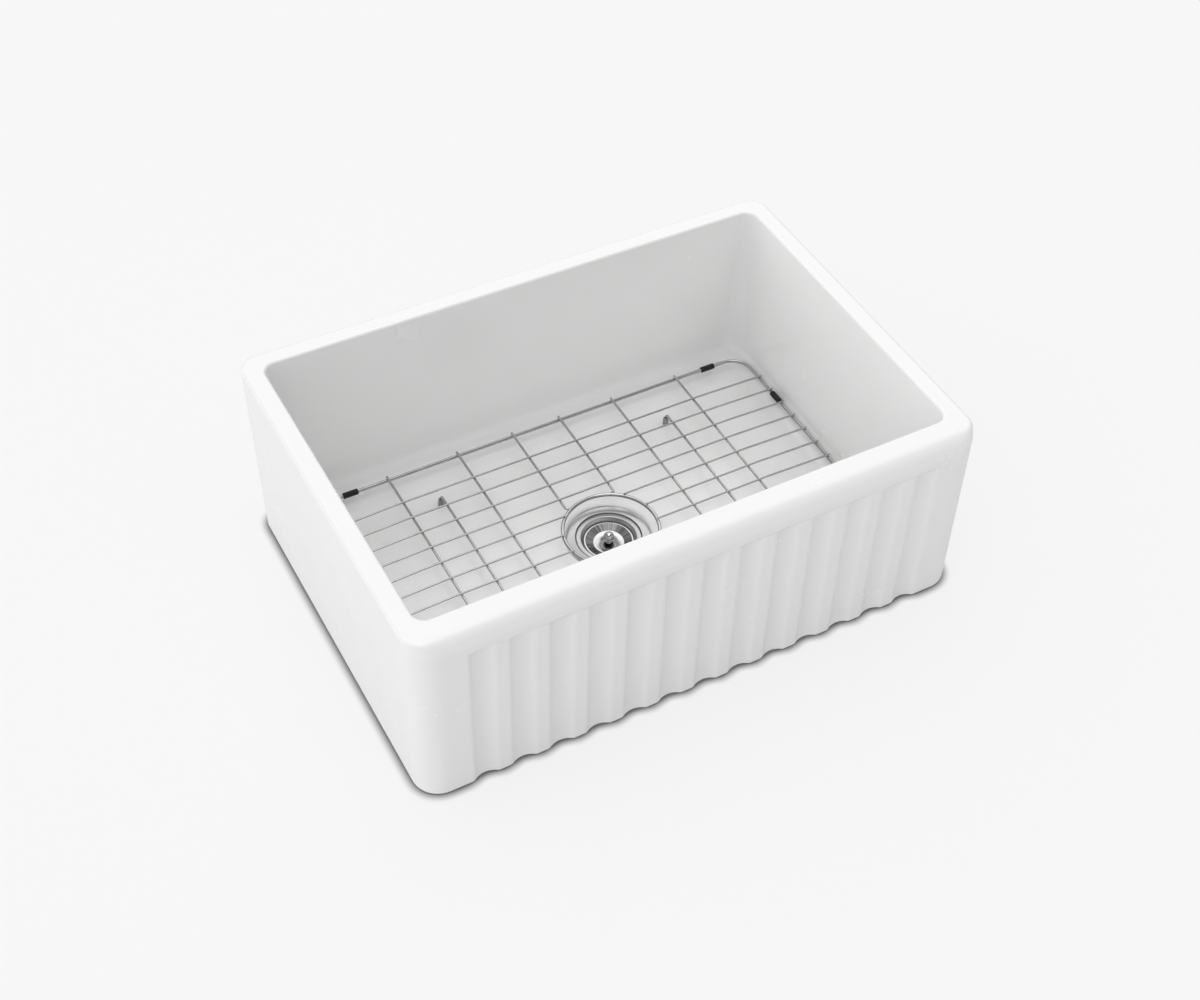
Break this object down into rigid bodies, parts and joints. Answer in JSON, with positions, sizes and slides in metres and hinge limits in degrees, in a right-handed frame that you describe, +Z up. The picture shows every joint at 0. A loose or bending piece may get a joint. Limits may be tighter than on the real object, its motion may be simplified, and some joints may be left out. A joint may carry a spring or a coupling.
{
  "type": "farmhouse apron front sink",
  "caption": "Farmhouse apron front sink in white fireclay, with a fluted apron, one deep bowl, a loose wire bottom grid with a drain ring, and a basket strainer.",
  "frame": {"origin": "middle of the outline, on the plane the base stands on", "axes": "+X to the right along the apron, +Y from the fluted apron to the back, +Z up"},
  "size_m": [0.762, 0.533, 0.268],
  "materials": {
    "glazed_fireclay": "gloss",
    "black_rubber": "matt",
    "grey_rubber": "matt",
    "seal_rubber": "matt",
    "fibre_washer": "matt",
    "cast_nut_metal": "dull",
    "wire_steel": "electropolished",
    "brushed_strainer_steel": "brushed",
    "polished_strainer_steel": "polished"
  },
  "bodies": {
    "sink": {"drain_gasket": "seal_rubber", "flange_seal": "seal_rubber", "friction_washer": "fibre_washer", "locknut": "cast_nut_metal", "sink_basin": "glazed_fireclay", "strainer_body": "brushed_strainer_steel"},
    "bottom_grid": {"bumper_back_left": "black_rubber", "bumper_back_right": "black_rubber", "bumper_front_left": "black_rubber", "bumper_front_right": "black_rubber", "bumper_left_back": "black_rubber", "bumper_left_front": "black_rubber", "bumper_right_back": "black_rubber", "bumper_right_front": "black_rubber", "cross_wire_1": "wire_steel", "cross_wire_2": "wire_steel", "cross_wire_3_back": "wire_steel", "cross_wire_3_front": "wire_steel", "cross_wire_4_back": "wire_steel", "cross_wire_4_front": "wire_steel", "cross_wire_5": "wire_steel", "cross_wire_6": "wire_steel", "grid_drain_ring": "wire_steel", "grid_foot_back_left": "grey_rubber", "grid_foot_back_right": "grey_rubber", "grid_foot_front_left": "grey_rubber", "grid_foot_front_right": "grey_rubber", "grid_frame": "wire_steel", "leg_wire_left": "wire_steel", "leg_wire_right": "wire_steel", "long_wire_1": "wire_steel", "long_wire_10": "wire_steel", "long_wire_11": "wire_steel", "long_wire_2": "wire_steel", "long_wire_3": "wire_steel", "long_wire_4": "wire_steel", "long_wire_5_left": "wire_steel", "long_wire_5_right": "wire_steel", "long_wire_6_left": "wire_steel", "long_wire_6_right": "wire_steel", "long_wire_7_left": "wire_steel", "long_wire_7_right": "wire_steel", "long_wire_8_left": "wire_steel", "long_wire_8_right": "wire_steel", "long_wire_9": "wire_steel"},
    "basket": {"strainer_basket": "brushed_strainer_steel"},
    "lid": {"basket_lid": "polished_strainer_steel", "lid_seal": "seal_rubber", "lid_knob": "polished_strainer_steel", "lid_nut": "polished_strainer_steel"}
  },
  "joints": [
    {"name": "grid_lift", "type": "slide", "parent": "sink", "child": "bottom_grid", "axis": [0, 0, 1], "range_m": [0, 0.25]},
    {"name": "basket_lift", "type": "slide", "parent": "sink", "child": "basket", "axis": [0, 0, 1], "range_m": [0, 0.28]},
    {"name": "lid_lift", "type": "slide", "parent": "basket", "child": "lid", "axis": [0, 0, 1], "range_m": [0, 0.06]}
  ]
}
